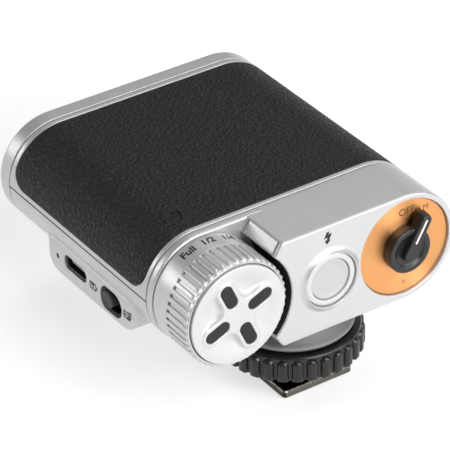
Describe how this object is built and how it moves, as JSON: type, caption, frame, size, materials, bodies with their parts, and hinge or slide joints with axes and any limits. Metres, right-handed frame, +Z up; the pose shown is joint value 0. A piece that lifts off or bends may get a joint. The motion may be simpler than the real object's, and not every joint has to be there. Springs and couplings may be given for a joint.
{
  "type": "speedlight flash",
  "caption": "Compact hot-shoe camera flash: stadium-section silver body with leather-grain top, ribbed power dial, rotary mode knob, round test button and a foot with a screw-down lock ring.",
  "frame": {"origin": "on the shoe foot's underside, where the common axis of the centre contact, the stem and the lock ring meets it", "axes": "+Y forward, the way the flash fires, along the body's length; +Z up, out of the camera's shoe; +X to the right seen from behind"},
  "size_m": [0.0721, 0.083, 0.0434],
  "materials": {
    "silver_shell": "satin silver, fine bead-blasted surface",
    "silver_controls": "satin silver, turned and bead-blasted",
    "leather": "black pebble grain, low sheen",
    "copper_plate": "copper-orange anodised, radially brushed",
    "index_white": "filled pale line",
    "black_plastic": "satin black moulding",
    "battery_wrap": "heat-shrink wrap",
    "rubber": "matt dark gray",
    "clear": "clear",
    "reflector_chrome": "mirror",
    "steel": "plain",
    "brass": "plain",
    "dark_metal": "black finish with bright worn edges",
    "circuit_board": "green solder mask",
    "capacitor_wrap": "dark blue sleeve"
  },
  "bodies": {
    "flash_body": {"top_cover": "silver_shell", "bottom_case": "silver_shell", "front_bezel": "silver_shell", "rear_housing": "silver_shell", "shoe_base": "silver_shell", "button_ring": "silver_controls", "top_leather": "leather", "mode_plate": "copper_plate", "dial_switch": "black_plastic", "mode_switch": "black_plastic", "test_switch": "black_plastic", "usb_tongue": "black_plastic", "slide_switch": "black_plastic", "window_frame": "black_plastic", "shoe_stem": "black_plastic", "contact_insert": "black_plastic", "battery_cell": "battery_wrap", "tube_cap_left": "rubber", "tube_cap_right": "rubber", "flash_lens": "clear", "xenon_tube": "clear", "status_lamp": "clear", "reflector": "reflector_chrome", "usb_shell": "steel", "contact_spring": "steel", "foot_screw_1": "steel", "foot_screw_2": "steel", "foot_screw_3": "steel", "foot_screw_4": "steel", "trigger_coil": "brass", "shoe_foot": "dark_metal", "case_screw_1": "dark_metal", "case_screw_2": "dark_metal", "case_screw_3": "dark_metal", "case_screw_4": "dark_metal", "main_board": "circuit_board", "control_board": "circuit_board", "flash_capacitor": "capacitor_wrap"},
    "power_dial": {"power_dial": "silver_controls", "dial_cap": "silver_controls", "dial_pad_1": "rubber", "dial_pad_2": "rubber", "dial_pad_3": "rubber", "dial_pad_4": "rubber", "dial_shaft": "steel"},
    "mode_knob": {"mode_knob": "black_plastic", "knob_index": "index_white", "mode_shaft": "steel"},
    "test_button": {"test_button": "silver_controls"},
    "slide_knob": {"slide_knob": "rubber"},
    "clamp_plate": {"clamp_plate": "dark_metal"},
    "lock_ring": {"lock_ring": "black_plastic"},
    "lock_pin": {"lock_pin": "steel"},
    "contact_pin": {"contact_pin": "brass"}
  },
  "joints": [
    {"name": "power_dial_turn", "type": "hinge", "parent": "flash_body", "child": "power_dial", "pos_m": [-0.0225, 0, 0.0295], "axis": [0, -1, 0], "range_deg": [-23, 138]},
    {"name": "mode_knob_turn", "type": "hinge", "parent": "flash_body", "child": "mode_knob", "pos_m": [0.0225, -0.0114, 0.0295], "axis": [0, -1, 0], "range_deg": [-66, 22]},
    {"name": "test_button_press", "type": "slide", "parent": "flash_body", "child": "test_button", "axis": [0, 1, 0], "range_m": [0, 0.0008], "stiffness_N_per_m": 900, "springref_m": -0.0004},
    {"name": "slide_knob_slide", "type": "slide", "parent": "flash_body", "child": "slide_knob", "axis": [0, -1, 0], "range_m": [0, 0.0026]},
    {"name": "clamp_plate_slide", "type": "slide", "parent": "flash_body", "child": "clamp_plate", "axis": [0, 0, -1], "range_m": [0, 0.00115]},
    {"name": "lock_ring_turn", "type": "hinge", "parent": "clamp_plate", "child": "lock_ring", "pos_m": [0, 0, 0.0095], "axis": [0, 0, -1], "range_deg": [0, 270]},
    {"name": "lock_pin_slide", "type": "slide", "parent": "flash_body", "child": "lock_pin", "axis": [0, 0, -1], "range_m": [0, 0.0017]},
    {"name": "contact_pin_press", "type": "slide", "parent": "flash_body", "child": "contact_pin", "axis": [0, 0, 1], "range_m": [0, 0.0004], "stiffness_N_per_m": 800, "springref_m": -0.0003, "deforming": ["contact_spring"]}
  ],
  "couplings": [
    {"joint": "clamp_plate_slide", "follows": "lock_ring_turn", "m_per_rad": 0.00023873},
    {"joint": "lock_pin_slide", "follows": "lock_ring_turn", "m_per_rad": 0.00033953}
  ]
}
